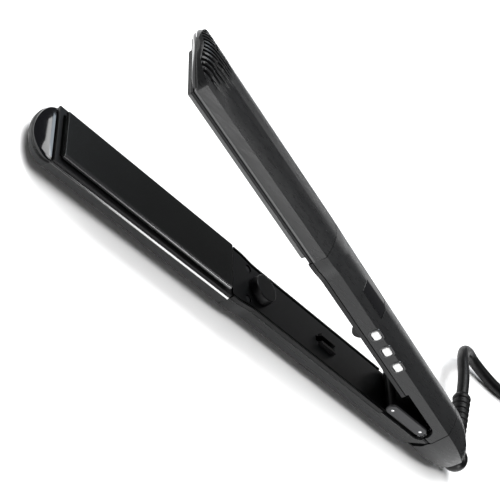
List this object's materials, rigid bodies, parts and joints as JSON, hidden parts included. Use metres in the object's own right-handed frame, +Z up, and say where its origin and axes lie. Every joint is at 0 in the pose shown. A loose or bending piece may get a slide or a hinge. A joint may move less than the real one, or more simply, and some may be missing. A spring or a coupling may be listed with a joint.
{
  "type": "flat iron",
  "caption": "Slim corded hair straightener with hinged, spring-opened arms, floating heated plates, a small display, side buttons and a swivelling power cord.",
  "frame": {"origin": "centre of the footprint of the iron without its cord, on the surface it lies on", "axes": "+X from the tips towards the cord end, +Y across the arms, +Z up; the lower arm lies on its outer face and the control arm is swung open above it"},
  "size_m": [0.4623, 0.1233, 0.0886],
  "materials": {
    "casing": "dark grey brushed-look satin",
    "frame": "black satin",
    "plate": "near-black ceramic-coated aluminium, satin",
    "gloss": "black, mirror gloss",
    "badge": "dark grey satin",
    "button": "white",
    "steel": "bright",
    "ceramic": "off-white ceramic heater",
    "board": "green circuit board",
    "rubber": "black satin"
  },
  "bodies": {
    "control_arm": {"control_barrel_cover": "casing", "control_handle_cover": "casing", "control_plate_frame": "frame", "control_inner_cover": "frame", "control_tip_cap": "gloss", "control_cover_screw_left": "steel", "control_cover_screw_right": "steel", "display_window": "gloss", "display_module": "board", "control_board": "board", "button_switch_strip": "board", "tail_housing": "casing", "end_ring": "steel", "hinge_bracket": "steel", "hinge_pin": "steel", "opening_spring": "steel", "cord_lead": "rubber", "cord_coil": "rubber", "plug_body": "rubber", "plug_blade_left": "steel", "plug_blade_right": "steel"},
    "lower_arm": {"lower_barrel_cover": "casing", "lower_handle_cover": "casing", "lower_plate_frame": "frame", "lower_inner_cover": "frame", "lower_tip_cap": "gloss", "lower_cover_screw_left": "steel", "lower_cover_screw_right": "steel", "lower_boss": "frame", "lower_hinge_core": "frame", "lower_terminal_board": "board", "side_badge_near": "badge", "side_badge_far": "badge"},
    "control_plate": {"control_plate": "plate", "control_heater": "ceramic", "control_heater_bracket": "steel"},
    "lower_plate": {"lower_plate": "plate", "lower_heater": "ceramic", "lower_heater_bracket": "steel"},
    "power_button": {"button_power": "button"},
    "plus_button": {"button_plus": "button"},
    "minus_button": {"button_minus": "button"},
    "swivel": {"cord_swivel": "frame", "strain_relief": "rubber"}
  },
  "joints": [
    {"name": "arm_hinge", "type": "hinge", "parent": "control_arm", "child": "lower_arm", "pos_m": [0.1097, 0, 0.016], "axis": [0, 1, 0], "range_deg": [0, 13.1], "stiffness_Nm_per_rad": 1.2, "springref_deg": -25.78},
    {"name": "control_plate_float", "type": "slide", "parent": "control_arm", "child": "control_plate", "axis": [0.2267, 0, 0.974], "range_m": [0, 0.0005], "stiffness_N_per_m": 4000, "springref_m": -0.0005},
    {"name": "lower_plate_float", "type": "slide", "parent": "lower_arm", "child": "lower_plate", "axis": [0, 0, -1], "range_m": [0, 0.0005], "stiffness_N_per_m": 4000, "springref_m": -0.0005},
    {"name": "cord_swivel_turn", "type": "hinge", "parent": "control_arm", "child": "swivel", "pos_m": [0.14824, 0, 0.00867], "axis": [0.974, 0, -0.2267], "continuous": true},
    {"name": "power_press", "type": "slide", "parent": "control_arm", "child": "power_button", "axis": [-0.0229, 0.9949, -0.0982], "range_m": [0, 0.0006], "stiffness_N_per_m": 700, "springref_m": -0.0006},
    {"name": "plus_press", "type": "slide", "parent": "control_arm", "child": "plus_button", "axis": [-0.0229, 0.9949, -0.0982], "range_m": [0, 0.0006], "stiffness_N_per_m": 700, "springref_m": -0.0006},
    {"name": "minus_press", "type": "slide", "parent": "control_arm", "child": "minus_button", "axis": [-0.0229, 0.9949, -0.0982], "range_m": [0, 0.0006], "stiffness_N_per_m": 700, "springref_m": -0.0006}
  ]
}
